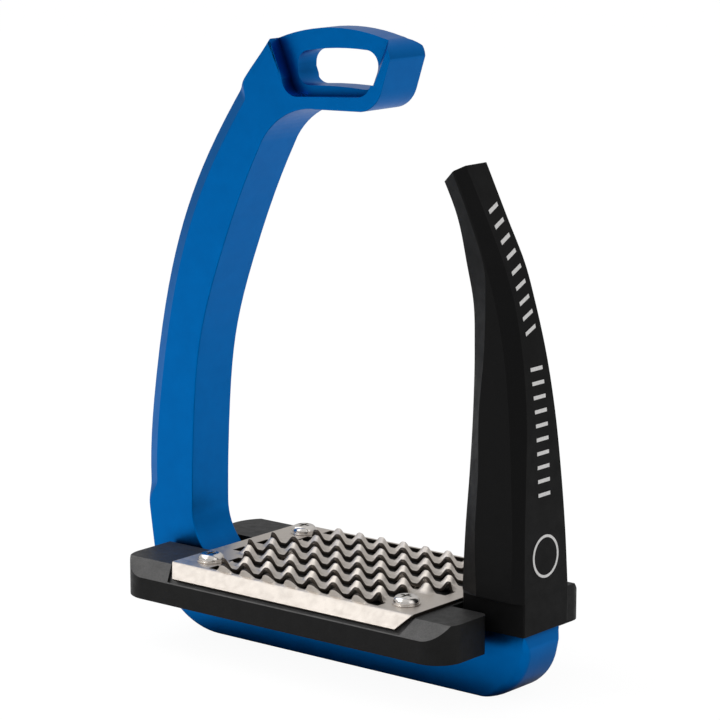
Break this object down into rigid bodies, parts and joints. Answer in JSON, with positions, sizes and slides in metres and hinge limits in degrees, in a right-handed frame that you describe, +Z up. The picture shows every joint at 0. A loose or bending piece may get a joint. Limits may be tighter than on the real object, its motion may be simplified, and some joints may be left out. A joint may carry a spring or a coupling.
{
  "type": "safety stirrup iron",
  "caption": "Safety stirrup iron: asymmetric bowed alloy branch with an offset leather eye, toothed steel tread on a moulded pad, and a sprung elastomer arm that swings outwards.",
  "frame": {"origin": "middle of the base bar's underside, under the middle of the tread", "axes": "+X from the fixed branch towards the release arm, +Y from front to back, +Z up to the eye for the stirrup leather"},
  "size_m": [0.1511, 0.0704, 0.1943],
  "materials": {
    "anodised_blue": "bright blue anodised, satin",
    "pad_rubber": "moulded, charcoal, matt",
    "insert_brass": "machined",
    "washer_steel": "bright",
    "screw_steel": "polished",
    "tread_steel": "pressed stainless sheet, satin",
    "foot_plastic": "moulded, black",
    "spring_steel": "blued spring strip",
    "arm_elastomer": "moulded elastomer, black, matt"
  },
  "bodies": {
    "frame": {"frame": "anodised_blue", "tread_pad": "pad_rubber", "pad_inserts": "insert_brass", "pad_cup_washers": "washer_steel", "pad_screws": "screw_steel", "tread_plate": "tread_steel", "tread_washers": "washer_steel", "tread_screws": "screw_steel", "arm_foot": "foot_plastic", "foot_inserts": "insert_brass", "foot_screws": "screw_steel", "pivot_pin": "screw_steel"},
    "arm": {"release_arm": "arm_elastomer", "arm_leaf": "spring_steel", "leaf_bush": "insert_brass"}
  },
  "joints": [
    {"name": "arm_release", "type": "hinge", "parent": "frame", "child": "arm", "pos_m": [0.0682, 0, 0.0264], "axis": [0, 1, 0], "range_deg": [0, 75], "stiffness_Nm_per_rad": 4}
  ]
}
